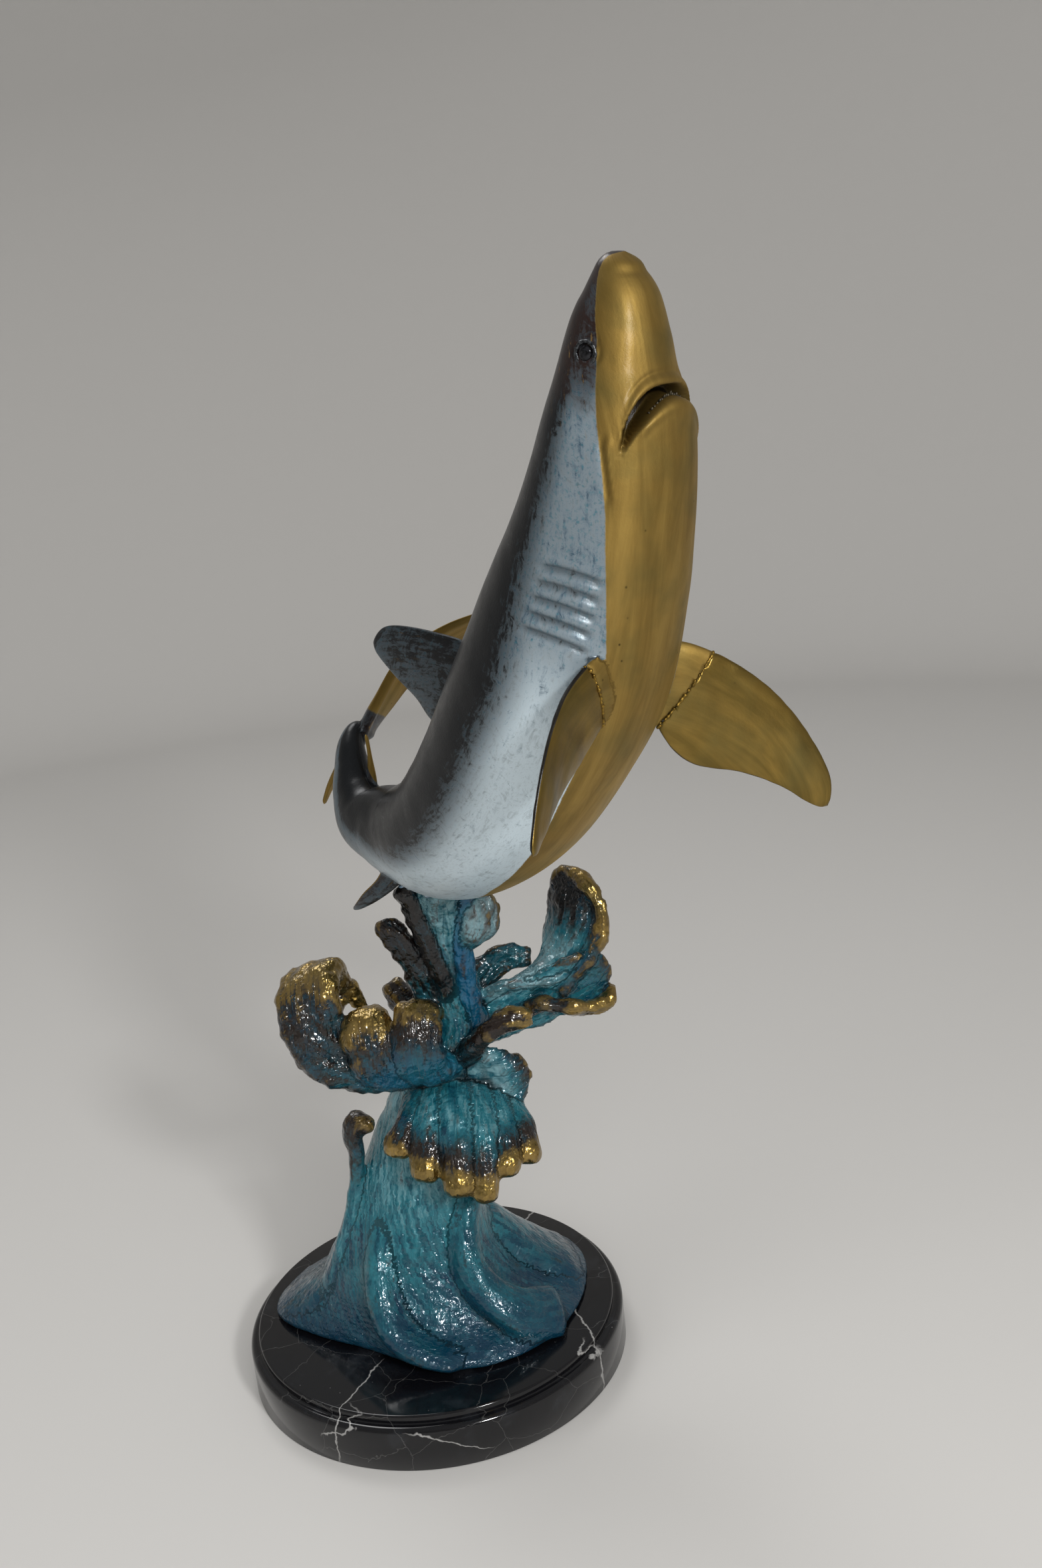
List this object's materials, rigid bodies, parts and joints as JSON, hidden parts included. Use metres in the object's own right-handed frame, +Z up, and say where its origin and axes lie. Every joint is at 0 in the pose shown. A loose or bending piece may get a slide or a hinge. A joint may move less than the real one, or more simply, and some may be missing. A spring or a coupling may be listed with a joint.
{
  "type": "shark figurine",
  "caption": "Leaping shark sculpture in patinated and part polished bronze, carried by a breaking wave on a stepped round black marble base; stands on a table as an ornament.",
  "frame": {"origin": "centre of the marble base's underside", "axes": "+Z up from the underside to the nose; +X to the right and -Y towards the viewer in the picture; the shark's upright middle plane holds the base's axis and points halfway between +X and -Y"},
  "size_m": [0.5138, 0.4863, 0.8953],
  "materials": {
    "black_marble": "polished",
    "sea_patina": "lacquered patina",
    "skin_patina": "lacquered patina",
    "polished_bronze": "satin polished",
    "zinc_plated_steel": "zinc plated"
  },
  "bodies": {
    "root": {"marble_base": "black_marble", "wave_casting": "sea_patina", "shark_body": "skin_patina", "left_pectoral_fin": "polished_bronze", "right_pectoral_fin": "polished_bronze", "wave_stud_1": "zinc_plated_steel", "wave_stud_2": "zinc_plated_steel", "wave_stud_3": "zinc_plated_steel", "stud_washer_1": "zinc_plated_steel", "stud_washer_2": "zinc_plated_steel", "stud_washer_3": "zinc_plated_steel", "stud_nut_1": "zinc_plated_steel", "stud_nut_2": "zinc_plated_steel", "stud_nut_3": "zinc_plated_steel"}
  },
  "joints": []
}
